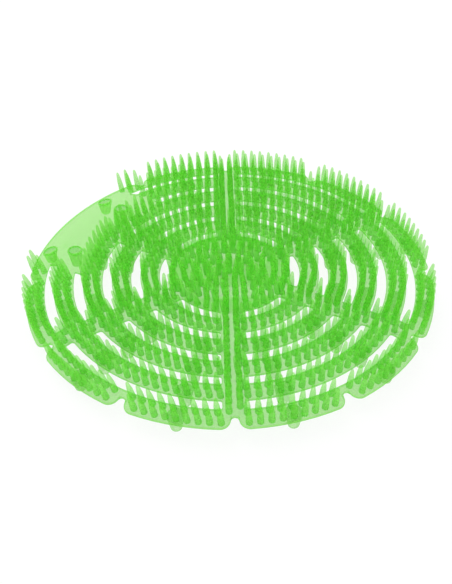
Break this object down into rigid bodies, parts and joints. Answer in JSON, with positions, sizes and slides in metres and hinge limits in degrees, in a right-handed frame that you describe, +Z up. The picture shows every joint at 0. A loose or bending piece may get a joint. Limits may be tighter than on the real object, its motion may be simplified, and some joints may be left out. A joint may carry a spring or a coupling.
{
  "type": "urinal deodorizer screen",
  "caption": "Round soft-plastic mat for a urinal bowl, with short bristles on top, curved drain slots, a notched rim, a bare grip and studs below.",
  "frame": {"origin": "on the axis of the round plate, at the height of the feet's flat ends, on which the screen stands", "axes": "+Z up, out of the plate on the bristle side; -Y towards the spoke and notch at the front of the picture; the bare grip lies at the left and back, 120 degrees round from the front"},
  "size_m": [0.1896, 0.1896, 0.0204],
  "materials": {
    "scented_eva": "soft scented EVA plastic, bright green, translucent where thin, satin"
  },
  "bodies": {
    "root": {"screen": "scented_eva"}
  },
  "joints": []
}
